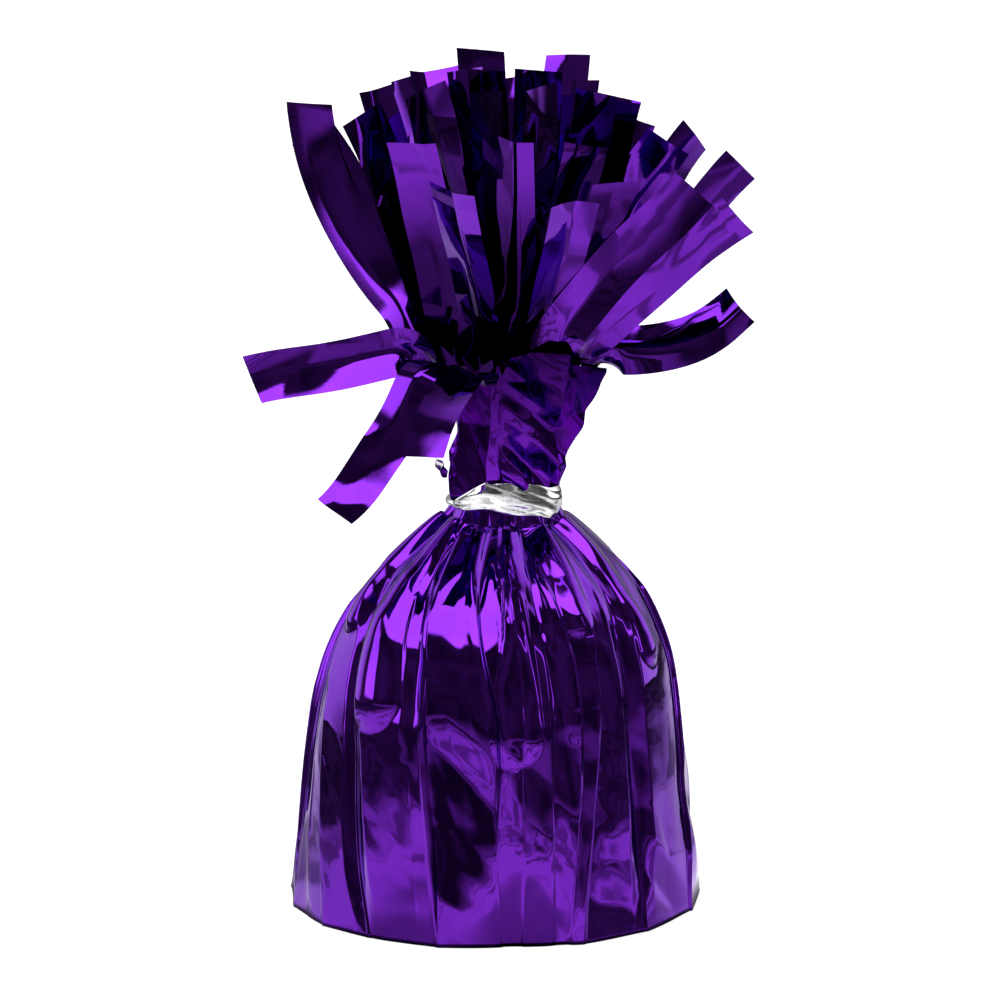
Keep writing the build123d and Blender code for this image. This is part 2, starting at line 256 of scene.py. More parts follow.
def lightStudio():
    world = bpy.data.worlds.new("studio")
    world.use_nodes = True
    tree = world.node_tree
    tree.nodes.clear()
    direction = tree.nodes.new("ShaderNodeTexCoord").outputs["Generated"]
    axes = linkAxes(tree, direction)
    toFront = linkMath(tree, "MULTIPLY", axes["Y"], -1.0)
    turn = linkMath(tree, "ARCTAN2", axes["X"], toFront)
    side = linkMath(tree, "ABSOLUTE", turn)
    tilt = linkMath(tree, "ARCSINE", axes["Z"])
    behind = linkRise(tree, side, *inRadians(studio["backdropSides"]))
    lowSky = linkRest(tree, linkRise(tree, tilt, *inRadians(studio["backdropTop"])))
    fall = linkRise(tree, side, *inRadians(studio["fallSides"]))
    farBehind = linkMath(tree, "MULTIPLY", fall, studio["backdropFall"])
    backLevel = linkMath(tree, "SUBTRACT", studio["backdrop"], farBehind)
    backdrop = linkProduct(tree, behind, lowSky, backLevel)
    boxWidth = linkBand(tree, turn, *inRadians(studio["boxSides"]))
    boxHeight = linkBand(tree, tilt, *inRadians(studio["boxHeights"]))
    softBox = linkProduct(tree, boxHeight, boxWidth, studio["softBox"])
    below = linkRest(tree, linkRise(tree, tilt, *inRadians(studio["tableTop"])))
    inFront = linkRest(tree, linkRise(tree, side, *inRadians(studio["tableSides"])))
    table = linkProduct(tree, below, inFront, studio["table"])
    clutter = linkNoise(tree, direction, studio["clutterScale"], studio["clutterDetail"])
    shade = linkMath(tree, "MULTIPLY", linkRise(tree, clutter, *studio["clutterRise"]), studio["clutter"])
    dim = linkMath(tree, "ADD", shade, studio["dim"])
    leftLamp = linkBand(tree, turn, *inRadians(studio["leftLamp"]))
    rightLamp = linkBand(tree, turn, *inRadians(studio["rightLamp"]))
    lampHeight = linkBand(tree, tilt, *inRadians(studio["lampHeights"]))
    bothLamps = linkMath(tree, "ADD", leftLamp, rightLamp)
    lamps = linkProduct(tree, bothLamps, lampHeight, studio["lamps"])
    glare = linkMath(tree, "ADD", softBox, lamps)
    room = linkMath(tree, "ADD", linkMath(tree, "ADD", backdrop, glare), linkMath(tree, "ADD", table, dim))
    roomLight = tree.nodes.new("ShaderNodeBackground")
    tree.links.new(room, roomLight.inputs["Strength"])
    white = tree.nodes.new("ShaderNodeBackground")
    white.inputs["Color"].default_value = (1.0, 1.0, 1.0, 1.0)
    seen = tree.nodes.new("ShaderNodeLightPath").outputs["Is Camera Ray"]
    output = tree.nodes.new("ShaderNodeOutputWorld")
    surface = linkSwitch(tree, seen, roomLight.outputs[0], white.outputs[0])
    tree.links.new(surface, output.inputs["Surface"])
    scene.world = world


# The floor's sizes are in metres, its height in mm. What film mirrors of it is a painted glow: a painted pool
# of light, brightest near the weight and darker aside, behind and in patches, and a painted contact shadow,
# black in the seam under the hem.
floorLook = {
    "reach": 1.05, "rings": 12, "columns": 96, "height": -0.05, "colour": (0.86, 0.86, 0.86), "rough": 0.9,
    "glow": 0.66, "near": 1.2, "far": 0.5, "fade": (0.10, 0.80), "litSides": (0.12, 0.3), "aside": 0.85,
    "patch": 0.62, "patchScale": 15.0, "patchDetail": 1.5, "patchRise": (0.47, 0.60),
    "seam": (0.0335, 0.0395), "behind": 0.3, "behindRise": (0.01, 0.09),
}


def newMaterial(name):
    material = bpy.data.materials.new(name)
    material.use_nodes = True
    tree = material.node_tree
    place = tree.nodes.new("ShaderNodeTexCoord").outputs["Object"]
    return material, tree, tree.nodes["Principled BSDF"], place


# Floor: rings of a flat disc, its radius growing from the middle to the edge
def layFloor():
    material, tree, shader, place = newMaterial("paleFloor")
    shader.inputs["Base Color"].default_value = (*floorLook["colour"], 1.0)
    shader.inputs["Roughness"].default_value = floorLook["rough"]
    shader.inputs["Emission Color"].default_value = (1.0, 1.0, 1.0, 1.0)
    shader.inputs["Emission Strength"].default_value = floorLook["glow"]
    lengthNode = tree.nodes.new("ShaderNodeVectorMath")
    lengthNode.operation = "LENGTH"
    tree.links.new(place, lengthNode.inputs[0])
    away = lengthNode.outputs["Value"]
    # Painted light for glossy rays: a pool of light fading away from the weight, dimmed aside and in patches
    fade = linkRise(tree, away, *floorLook["fade"], floorLook["near"], floorLook["far"])
    axes = linkAxes(tree, place)
    aside = linkRise(tree, linkMath(tree, "ABSOLUTE", axes["X"]), *floorLook["litSides"])
    lit = linkRest(tree, linkMath(tree, "MULTIPLY", aside, floorLook["aside"]))
    patch = linkNoise(tree, place, floorLook["patchScale"], floorLook["patchDetail"])
    shade = linkMath(tree, "MULTIPLY", linkRise(tree, patch, *floorLook["patchRise"]), floorLook["patch"])
    # Painted contact shadow in the seam under the hem, and painted shade behind the weight
    seam = linkRise(tree, away, *floorLook["seam"])
    farSide = linkRise(tree, axes["Y"], *floorLook["behindRise"])
    behind = linkMath(tree, "MULTIPLY", farSide, floorLook["behind"])
    mirrored = linkProduct(tree, seam, linkRest(tree, shade), linkRest(tree, behind))
    glow = tree.nodes.new("ShaderNodeEmission")
    tree.links.new(linkProduct(tree, fade, lit, mirrored), glow.inputs["Strength"])
    # Glossy rays see the painted glow; all other rays see the evenly bright floor
    glossy = tree.nodes.new("ShaderNodeLightPath").outputs["Is Glossy Ray"]
    surface = linkSwitch(tree, glossy, shader.outputs[0], glow.outputs[0])
    tree.links.new(surface, tree.nodes["Material Output"].inputs["Surface"])
    turn = np.linspace(0, 2 * np.pi, floorLook["columns"], endpoint=False)[None, :]
    reach = (np.linspace(0.0, 1.0, floorLook["rings"]) * floorLook["reach"] / mm)[:, None]
    height = np.full((floorLook["rings"], floorLook["columns"]), floorLook["height"])
    flat = np.stack([reach * np.cos(turn), reach * np.sin(turn), height], axis=-1)
    floor = gridPiece("floor", flat[:, ::-1], material, closed=True)


lightStudio()
layFloor()
print("studio lit")

# Film is a lacquered mirror: its colour lies on the metal, the edge colour tints it at grazing angles, and a
# clear coat adds pale glints
purpleFilm = {"deep": (0.110, 0.008, 0.35), "light": (0.145, 0.012, 0.44), "rough": (0.02, 0.065),
              "coat": 0.45, "edge": (0.9, 0.78, 1.0)}
silverFilm = {"deep": (0.72, 0.73, 0.76), "light": (0.93, 0.93, 0.95), "rough": (0.05, 0.16),
              "coat": 0.45, "edge": (1.0, 1.0, 1.0)}
# Painted shade for the neck: the purple film with less clear coat and a darker edge tint
shadedFilm = {**purpleFilm, "coat": 0.1, "edge": (0.4, 0.25, 0.6)}
# Faint clouds in the colour, a finer haze in the gloss, ripples with their depth in metres, the clear coat,
# and the share of light left at roots by the painted root shade
filmGrain = {"cloudScale": 90.0, "cloudDetail": 4.0, "cloudRise": (0.3, 0.7), "hazeScale": 420.0,
             "hazeDetail": 6.0, "hazeRise": (0.3, 0.75), "ripple": 0.12, "rippleDepth": 0.00005,
             "coatBend": 1.25, "coatRough": 0.03, "rootLight": 0.15}
plaster = {"deep": (0.62, 0.60, 0.56), "light": (0.78, 0.77, 0.74), "rough": 0.85, "grainScale": 300.0,
           "grainDetail": 6.0, "pits": 0.4, "pitDepth": 0.0004}


# Painted shade: the film's colour and clear coat are darkened towards the start of its map, a strip's root or
# the neck's rim, where it mirrors only film
def shadeRoots(tree, colour, low, high):
    chart = tree.nodes.new("ShaderNodeUVMap")
    chart.uv_map = "filmMap"
    rise = linkRise(tree, linkAxes(tree, chart.outputs["UV"])["Y"], low, high)
    gain = linkMath(tree, "MULTIPLY", rise, 1.0 - filmGrain["rootLight"])
    lit = linkMath(tree, "ADD", gain, filmGrain["rootLight"])
    scaled = tree.nodes.new("ShaderNodeVectorMath")
    scaled.operation = "SCALE"
    tree.links.new(colour, scaled.inputs[0])
    tree.links.new(lit, scaled.inputs["Scale"])
    return scaled.outputs["Vector"], lit


def filmMaterial(name, finish, roots=None):
    material, tree, shader, place = newMaterial(name)
    shader.inputs["Metallic"].default_value = 1.0
    shader.inputs["Specular Tint"].default_value = (*finish["edge"], 1.0)
    shader.inputs["Coat Weight"].default_value = finish["coat"]
    shader.inputs["Coat IOR"].default_value = filmGrain["coatBend"]
    shader.inputs["Coat Roughness"].default_value = filmGrain["coatRough"]
    cloud = linkNoise(tree, place, filmGrain["cloudScale"], filmGrain["cloudDetail"])
    clouded = linkRise(tree, cloud, *filmGrain["cloudRise"])
    colour = linkTone(tree, clouded, finish["deep"], finish["light"])
    # Painted root shade: it darkens the colour and thins the clear coat
    if roots:
        colour, lit = shadeRoots(tree, colour, *roots)
        coat = linkMath(tree, "MULTIPLY", lit, finish["coat"])
        tree.links.new(coat, shader.inputs["Coat Weight"])
    tree.links.new(colour, shader.inputs["Base Color"])
    haze = linkNoise(tree, place, filmGrain["hazeScale"], filmGrain["hazeDetail"])
    rough = linkRise(tree, haze, *filmGrain["hazeRise"], *finish["rough"], smooth=False)
    tree.links.new(rough, shader.inputs["Roughness"])
    linkBump(tree, shader, haze, filmGrain["ripple"], filmGrain["rippleDepth"])
    return material


def plasterMaterial():
    material, tree, shader, place = newMaterial("castPlaster")
    shader.inputs["Roughness"].default_value = plaster["rough"]
    grain = linkNoise(tree, place, plaster["grainScale"], plaster["grainDetail"])
    colour = linkTone(tree, grain, plaster["deep"], plaster["light"])
    tree.links.new(colour, shader.inputs["Base Color"])
    linkBump(tree, shader, grain, plaster["pits"], plaster["pitDepth"])
    return material


purple = filmMaterial("purpleFilm", purpleFilm)
silver = filmMaterial("silverFilm", silverFilm)
# Roots of the painted shade: where along the film, as shares of its length, it begins to be lit and is fully
# lit
outerPaintedShadeFilm = filmMaterial("outerStripPaintedShadeFilm", purpleFilm, roots=(0.04, 0.30))
innerPaintedShadeFilm = filmMaterial("innerStripPaintedShadeFilm", purpleFilm, roots=(0.28, 0.82))
deepPaintedShadeFilm = filmMaterial("deepStripPaintedShadeFilm", purpleFilm, roots=(0.35, 1.7))
latePaintedShadeFilm = filmMaterial("lateStripPaintedShadeFilm", purpleFilm, roots=(0.45, 0.95))
neckPaintedShadeFilm = filmMaterial("neckPaintedShadeFilm", shadedFilm, roots=(-0.1, 0.85))
coreMaterials = bpy.data.objects["weight_core"].data.materials
coreMaterials.clear()
coreMaterials.append(plasterMaterial())
print("materials made")

# Bell of film, in mm: a taper all the way up, less a drop that grows above the shoulder; it leans to the
# right on its way up the wall and over the dome
bell = {"baseRadius": 35.0, "taper": 0.126, "shoulderHeight": 33.0, "gatherHeight": 65.2, "topHeight": 68.6,
        "drop": 16.9, "dropPower": 2.6, "wallHeight": 38.0,
        "inset": 0.9, "insetHeights": (0.0, 20.0, 38.0), "insetShares": (0.3, 0.8, 1.0),
        "wallLean": 0.8, "leanHeight": 45.0, "leanPower": 1.5, "domeLean": 1.0}


# How far up the dome a height lies, from 0 at the shoulder to 1 at the gather
def domeShare(z):
    return np.clip((z - bell["shoulderHeight"]) / (bell["gatherHeight"] - bell["shoulderHeight"]), 0.0, 1.0)


# Radius: the base radius less the taper times the height, less the drop times the dome share to a power
def bellRadius(z):
    return bell["baseRadius"] - bell["taper"] * z - bell["drop"] * domeShare(z) ** bell["dropPower"]


# Lines up the bell, from left to right: angles from the front at the line heights, the step's depth there,
# which side lies on top, the width of its rise, a groove's depth there and its half width, the belly of the
# film left and right of it, and how far the panel to its right leans out and is crushed
lineHeights = (0.0, 10.0, 20.0, 30.0, 38.0, 46.0, 54.0, 61.0, 69.0)
noGroove = (0.0,) * len(lineHeights)
skirtLines = [
    {"angles": (-55, -59, -63.5, -67.5, -70, -77, -83, -87, -90),
     "step": (0.5, 0.6, 0.8, 0.9, 1.0, 1.1, 1.1, 0.9, 0.6), "top": -1, "width": 9.0,
     "groove": noGroove, "half": 2.0, "belly": (0.3, 0.2), "lean": 0.2, "crush": 0.3},
    {"angles": (-37, -42.5, -46.5, -49.5, -53, -57, -65, -70, -74),
     "step": (0.4, 0.5, 0.5, 0.5, 0.5, 0.5, 0.5, 0.4, 0.3), "top": 1, "width": 8.0,
     "groove": (0.4, 1.4, 1.9, 2.2, 2.1, 1.8, 1.3, 0.7, 0.2), "half": 3.0, "belly": (0.1, 0.35),
     "lean": 2.2, "crush": 0.12},
    {"angles": (-21, -23, -25, -27, -27.5, -30, -36, -44, -51),
     "step": (0, 0, 0, 0, 0.2, 0.5, 0.6, 0.5, 0.3), "top": 1, "width": 4.0,
     "groove": (0, 0, 0, 0, 0.5, 1.3, 1.3, 0.9, 0.4), "half": 1.7, "belly": (0.4, 0.4),
     "lean": 2.2, "crush": 0.12},
    {"angles": (-15.5, -17.6, -19.6, -22, -23.8, -26, -32, -39, -46),
     "step": (0.35, 0.5, 0.6, 0.7, 0.9, 1.1, 1.1, 0.9, 0.6), "top": -1, "width": 6.0,
     "groove": noGroove, "half": 2.0, "belly": (0.35, -0.45), "lean": 0.1, "crush": 0.75},
    {"angles": (2, 1, 0.5, 1, 0, -5, -10, -14.6, -18),
     "step": (0, 0, 0.1, 0.6, 1.1, 1.3, 1.3, 1.1, 0.7), "top": -1, "width": 6.0,
     "groove": (0, 0, 0, 0, 0, 0, 0.4, 0.8, 0.5), "half": 2.0, "belly": (0.1, 0.2),
     "lean": 0.5, "crush": 0.6},
    {"angles": (8, 8, 8, 8, 8, 6, 2, -2, -4),
     "step": (0, 0, 0, 0, 0, 0, -0.9, -1.3, -0.7), "top": 1, "width": 2.6,
     "groove": (0, 0, 0, 0, 0, 0, -1.2, -1.6, -0.8), "half": 1.8, "belly": (0.5, 0.5),
     "lean": 0.5, "crush": 0.5},
    {"angles": (17, 17, 17, 17, 17, 16, 14.5, 13, 11),
     "step": (0, 0, 0, 0, 0, 0, 0.3, 0.5, 0.3), "top": 1, "width": 3.0,
     "groove": (0, 0, 0, 0, 0, 0.2, 1.2, 1.8, 1.0), "half": 2.2, "belly": (0.45, 0.4),
     "lean": 0.3, "crush": 0.5},
    {"angles": (21.5, 23.5, 25.5, 27, 27.2, 25.8, 22.8, 20, 17.5),
     "step": (0, 0, 0.1, 0.5, 0.8, 1.0, 1.1, 1.0, 0.6), "top": 1, "width": 3.2,
     "groove": noGroove, "half": 2.0, "belly": (0.1, 0.1), "lean": -0.4, "crush": 0.3},
    {"angles": (25.2, 27.4, 30.2, 33, 34.6, 34.5, 38.8, 41, 42.5),
     "step": (0.4, 0.5, 0.6, 0.7, 0.9, 1.1, 1.1, 0.9, 0.6), "top": 1, "width": 5.0,
     "groove": noGroove, "half": 2.0, "belly": (0.0, -0.3), "lean": -0.3, "crush": 0.5},
    {"angles": (47, 48, 49.3, 49.8, 50, 51, 55.5, 59.5, 63),
     "step": (0.2, 0.3, 0.5, 0.5, 0.5, 0.5, 0.5, 0.4, 0.3), "top": -1, "width": 7.0,
     "groove": (0, 0.7, 1.6, 2.0, 2.1, 1.8, 1.0, 0.6, 0.2), "half": 2.6, "belly": (-0.1, 0.2),
     "lean": 0.0, "crush": 0.25},
    {"angles": (72, 73.5, 76, 81, 85, 87, 90, 89, 88),
     "step": (0.5, 0.6, 0.7, 0.8, 0.9, 1.0, 1.0, 0.8, 0.5), "top": -1, "width": 8.0,
     "groove": noGroove, "half": 2.0, "belly": (0.2, 0.3), "lean": 0.0, "crush": 0.3},
]
# Puffed folds that end in a round U, from a height and angle down to another: a rise that falls off with the
# distance to the line between them and to its lower end, and that narrows towards the top
puffFolds = [
    {"from": (62, -54), "to": (39.6, -42.5), "half": 5.6, "rise": 2.0, "power": 2.0},
    {"from": (56, 5.0), "to": (34.5, 6.0), "half": 4.6, "rise": 0.6, "power": 3.0},
    {"from": (64, 36), "to": (52.5, 31), "half": 3.2, "rise": 1.2, "power": 2.0},
    {"from": (66, 74), "to": (46, 64), "half": 3.4, "rise": 1.2, "power": 2.0},
    {"from": (66, -80), "to": (50, -72), "half": 3.0, "rise": 1.2, "power": 2.0},
]
puffNarrowing = 0.55
# Patches of crumpled film: height, angle, reach up and around in mm, depth and pitch of the facets
crumpleSpots = [
    {"height": 52.0, "angle": 51.0, "up": 5.5, "around": 6.0, "depth": 0.42, "pitch": 3.4},
    {"height": 57.0, "angle": 6.0, "up": 5.0, "around": 4.0, "depth": 0.42, "pitch": 3.4},
    {"height": 32.0, "angle": 4.5, "up": 2.6, "around": 2.6, "depth": 0.4, "pitch": 3.4},
    {"height": 10.0, "angle": 64.0, "up": 11.0, "around": 9.0, "depth": 0.8, "pitch": 8.0},
    {"height": 13.0, "angle": 84.0, "up": 12.0, "around": 8.0, "depth": 1.3, "pitch": 7.0},
    {"height": 54.0, "angle": -60.0, "up": 8.0, "around": 9.0, "depth": 0.3, "pitch": 3.4},
    {"height": 57.0, "angle": 28.0, "up": 9.0, "around": 13.0, "depth": 0.95, "pitch": 5.6},
]
spotLook = {"reach": 1.3, "tall": 1.3, "seed": 20}
# Folds round the back: angle at the base, wall, shoulder and dome, step, which side lies on top, groove
backFolds = [
    (93, 96, 104, 107, 0.9, 1, 0.0), (112, 115, 123, 126, 0.4, 1, 1.5), (137, 136, 140, 140, 0.9, 1, 0.0),
    (155, 155, 160, 159, 1.1, -1, 0.0), (180, 177, 178, 174, 0.4, 1, 1.3), (199, 196, 197, 192, 1.0, 1, 0.0),
    (220, 216, 215, 209, 0.9, -1, 0.0), (242, 236, 234, 226, 0.4, -1, 1.6), (263, 256, 253, 243, 1.0, 1, 0.0),
    (284, 276, 271, 260, 0.8, 1, 0.0),
]
# What all back folds share; bellies and leans go by a step from fold to fold and start again after a few
backLook = {"heights": (0.0, 20.0, 38.0, 54.0, 69.0), "neckStart": 99.0, "neckPitch": 18.0, "width": 6.0,
            "half": 2.4, "crush": 0.4, "grow": np.array((0.3, 0.55, 0.8, 0.9, 1.0, 1.0, 1.0, 0.8, 0.5)),
            "bellyLeft": (0.3, 0.15, 4), "bellyRight": (0.2, 0.2, 3), "lean": (0.4, 3)}
# Gathers under the tie: their angles in front, how many behind, and the ranges of their seeded forms
gathers = {"front": (-84, -62, -47, -13, 9, 50, 84), "back": 8, "backStart": 98.0, "backSpan": 162.0,
           "jitter": (0.1, 0.9), "start": 46.0, "depth": 1.0, "lean": (-4.0, 4.0), "width": (5.0, 11.0),
           "late": (0.0, 0.4), "rise": (0.4, 1.4), "seed": 8}
# Crushed facets that fan out from the tie, and an angle at which they keep quiet below a height
fan = {"depth": 0.9, "start": 40.0, "over": 22.0, "pitch": (18.0, 13.0), "seed": 7, "quietAngle": -31.0,
       "quietReach": 17.0, "quietEdge": 1.6, "quietTop": 63.0, "quietOver": 4.0}
panelCrush = {"depth": 1.0, "pitch": (12.0, 17.0), "seed": 60, "fine": 0.25, "finePitch": (5.0, 6.5),
              "fineSeed": 90}
filmWaves = {"depth": 0.05, "pitch": 26.0, "count": 5, "seed": 3}
filmDents = {"depth": 0.035, "pitch": (4.0, 6.0), "seed": 6}
# Columns stand closer in front and near the lines, rows closer near the top
skirtGrid = {"columns": 620, "rows": 142, "frontAngle": 100.0, "frontWeight": 2.0, "leastColumns": 6,
             "lineCrowd": 0.45, "topCrowd": 0.38, "topPower": 2.2}
# How steps, bellies, leans and crushed facets go up the bell, in mm
skirtForm = {"risePower": 1.4, "stepDrop": 0.6, "belly": 1.5, "crushLoss": 0.85, "crushTop": 40.0,
             "crushOver": 9.0, "leanHeights": (0.0, 36.0, 48.0, 60.0), "leanShares": (0.0, 1.0, 0.7, 0.0),
             "deepest": -1.5, "blur": 9, "blurStart": 50.0, "blurOver": 10.0, "tieCalm": 0.75,
             "tieStart": 64.0, "tieOver": 4.5}
hem = {"straight": 0.65, "height": 16.0, "leastStep": 0.1, "calm": 0.65, "calmOver": 6.0, "lowest": 0.05,
       "rings": (0.90, 0.975, 0.992), "ringHeight": 0.06}


# Back folds written out as lines: their growth up the wall is the same for all
def backLines():
    left, leftFall, leftEvery = backLook["bellyLeft"]
    right, rightFall, rightEvery = backLook["bellyRight"]
    leanStep, leanEvery = backLook["lean"]
    lines = []
    for number, (base, wall, shoulder, dome, step, top, groove) in enumerate(backFolds):
        neck = backLook["neckStart"] + backLook["neckPitch"] * number
        lines.append({
            "angles": np.interp(lineHeights, backLook["heights"], (base, wall, shoulder, dome, neck)),
            "step": step * backLook["grow"], "top": top, "width": backLook["width"],
            "groove": groove * backLook["grow"], "half": backLook["half"],
            "belly": (left - leftFall * (number % leftEvery), right - rightFall * (number % rightEvery)),
            "lean": leanStep * (number % leanEvery), "crush": backLook["crush"],
        })
    return lines


# Columns follow the lines: between two lines the angle goes straight from one to the next, closer near both
# ends. The belly of the film goes the same way from the right side of one line to the left side of the next.
# Each panel has its own lean, and its own crushed facets, which die out at its lines.
def columnsAlong(lines, z):
    paths = [np.interp(z[:, 0], lineHeights, line["angles"]) for line in lines]
    seam = (paths[-1] - 360.0 + paths[0]) / 2
    knots = [seam] + paths + [seam + 360.0]
    ends = [lines[0]["belly"][0]] + [line["belly"][1] for line in lines]
    starts = [line["belly"][0] for line in lines] + [lines[0]["belly"][0]]
    leans = [lines[-1]["lean"]] + [line["lean"] for line in lines]
    crushes = [lines[-1]["crush"]] + [line["crush"] for line in lines]
    spans = np.array([float(np.mean(b - a)) for a, b in zip(knots[:-1], knots[1:])])
    inFront = [abs(float(np.mean(knot))) < skirtGrid["frontAngle"] for knot in knots[:-1]]
    weights = spans * np.where(inFront, skirtGrid["frontWeight"], 1.0)
    shares = np.round(skirtGrid["columns"] * weights / weights.sum())
    counts = np.maximum(skirtGrid["leastColumns"], shares).astype(int)
    crowd = skirtGrid["lineCrowd"]
    angleParts, bellyParts, leanParts, crushParts = [], [], [], []
    for place, count in enumerate(counts):
        even = np.arange(count) / count
        t = (1.0 - crowd) * even + crowd * (0.5 - 0.5 * np.cos(np.pi * even))
        part = knots[place][:, None] * (1.0 - t) + knots[place + 1][:, None] * t
        around = np.radians(part) * bellRadius(z)
        crumple = crumples(around, z, panelCrush, place)
        angleParts.append(part)
        bellyParts.append(ends[place] + (starts[place] - ends[place]) * even)
        leanParts.append(np.full(count, leans[place]))
        crushParts.append(crushes[place] * np.sqrt(np.sin(np.pi * even)) * crumple)
    joined = [np.concatenate(parts, axis=-1) for parts in (angleParts, bellyParts, leanParts, crushParts)]
    return joined[0], joined[1][None, :], joined[2][None, :], joined[3]


# Step and groove of each line: a rise to the fold's edge, a short drop past it, and a V cut along it
def lineOffset(lines, angle, z, radius):
    offset = np.zeros(angle.shape)
    for line in lines:
        gap = np.radians(turnFrom(np.interp(z, lineHeights, line["angles"]), angle)) * radius
        step = np.interp(z, lineHeights, line["step"])
        over = gap * line["top"]
        rise = np.clip(1.0 + over / line["width"], 0.0, 1.0) ** skirtForm["risePower"] * (over <= 0.0)
        fall = np.clip(1.0 - over / skirtForm["stepDrop"], 0.0, 1.0) * (over > 0.0)
        cut = np.clip(1.0 - np.abs(gap) / line["half"], 0.0, 1.0)
        offset = offset + step * (rise + fall) - np.interp(z, lineHeights, line["groove"]) * cut
    return offset


# Crumpled spots: crushed facets that fade with the distance from the spot's middle
def spotRelief(angle, z, radius):
    around = np.radians(angle) * radius
    offset = np.zeros(angle.shape)
    for number, spot in enumerate(crumpleSpots):
        side = np.radians(turnFrom(spot["angle"], angle)) * radius
        away = np.hypot(side / spot["around"], (z - spot["height"]) / spot["up"])
        pitch = (spot["pitch"], spotLook["tall"] * spot["pitch"])
        crumple = shards(around, z, pitch, spotLook["seed"] + number)
        offset = offset + spot["depth"] * ease(spotLook["reach"] - away) * crumple
    return offset


# Puffs: the rise times 1 less a power of the distance over the half width
def puffRelief(angle, z, radius):
    offset = np.zeros(angle.shape)
    for fold in puffFolds:
        (high, highAngle), (low, lowAngle) = fold["from"], fold["to"]
        line = np.interp(z, (low, high), (lowAngle, highAngle))
        side = np.radians(turnFrom(line, angle)) * radius
        below = np.maximum(low - z, 0.0)
        half = fold["half"] * (1.0 - puffNarrowing * ease((z - low) / (high - low)))
        away = (np.hypot(side, below) / half) ** fold["power"]
        offset = offset + fold["rise"] * np.clip(1.0 - away, 0.0, 1.0)
    return offset


# Gathers are ridges with a triangle's section that grow up the dome, added to what is there
def addGathers(offset, angle, z):
    chance = np.random.default_rng(gathers["seed"])
    start, count = gathers["start"], gathers["back"]
    grow = ease((z - start) / (bell["gatherHeight"] - start)) * gathers["depth"]
    places = np.arange(count) + chance.uniform(*gathers["jitter"], count)
    back = gathers["backStart"] + gathers["backSpan"] * places / count
    for place in np.concatenate([gathers["front"], back]):
        lean = chance.uniform(*gathers["lean"])
        width = chance.uniform(*gathers["width"])
        late = chance.uniform(*gathers["late"])
        rise = chance.uniform(*gathers["rise"])
        gap = turnFrom(lean * (1.0 - domeShare(z)), angle - place)
        length = np.clip((domeShare(z) - late) / (1.0 - late), 0.0, 1.0)
        offset = offset + grow * length * rise * np.clip(1.0 - np.abs(gap) / width, 0.0, 1.0)
    return offset


# Puffs, gathers and the fan at the tie, swells and small dents on top of the lines
def skirtRelief(angle, z, radius):
    around = np.radians(angle) * radius
    offset = addGathers(puffRelief(angle, z, radius), angle, z)
    aside = fan["quietEdge"] * np.abs(angle - fan["quietAngle"]) / fan["quietReach"]
    calm = 1.0 - ease(fan["quietEdge"] - aside) * ease((fan["quietTop"] - z) / fan["quietOver"])
    fanned = ease((z - fan["start"]) / fan["over"]) * fan["depth"]
    fanned = fanned * shards(angle % 360.0, z, fan["pitch"], fan["seed"])
    waves = filmWaves["depth"] * swells(around, z, filmWaves)
    dents = filmDents["depth"] * shards(around, z, filmDents["pitch"], filmDents["seed"])
    return offset + calm * fanned + waves + dents


# The hem runs straight from fold to fold: a chord's share of the radius is the cosine of half its span over
# the cosine of the angle from its middle
def hemChord(lines, angle, z):
    corners = np.array([line["angles"][0] for line in lines if line["step"][0] > hem["leastStep"]])
    corners = np.append(corners, corners[0] + 360.0)
    turned = (angle - corners[0]) % 360.0 + corners[0]
    place = np.searchsorted(corners, turned, side="right") - 1
    middle = (corners[place] + corners[place + 1]) / 2
    half = (corners[place + 1] - corners[place]) / 2
    chord = np.cos(np.radians(half)) / np.cos(np.radians(turned - middle))
    return 1.0 - hem["straight"] * (1.0 - ease(z / hem["height"])) * (1.0 - chord)


# All offsets from the bell together: lines, relief, the panels' bellies as 4x less 4x squared up the wall,
# crushed facets and leans, softened sideways near the tie and calmed at the hem and under the tie
def skirtOffset(lines, angle, z, belly, lean, crush):
    plain = bellRadius(z)
    rest = np.clip(z / bell["wallHeight"], 0.0, 1.0)
    kept = 1.0 - skirtForm["crushLoss"] * ease((z - skirtForm["crushTop"]) / skirtForm["crushOver"])
    offset = lineOffset(lines, angle, z, plain) + skirtRelief(angle, z, plain)
    offset = offset + skirtForm["belly"] * belly * 4.0 * rest * (1.0 - rest) + crush * kept
    offset = offset + lean * np.interp(z, skirtForm["leanHeights"], skirtForm["leanShares"])
    offset = np.maximum(offset, skirtForm["deepest"])
    moves = range(-skirtForm["blur"], skirtForm["blur"] + 1)
    soft = np.mean([np.roll(offset, move, axis=1) for move in moves], axis=0)
    high = ease((z - skirtForm["blurStart"]) / skirtForm["blurOver"])
    offset = offset * (1.0 - high) + soft * high + spotRelief(angle, z, plain)
    calm = hem["calm"] + (1.0 - hem["calm"]) * ease(z / hem["calmOver"])
    fade = 1.0 - skirtForm["tieCalm"] * ease((z - skirtForm["tieStart"]) / skirtForm["tieOver"])
    return offset * calm * fade


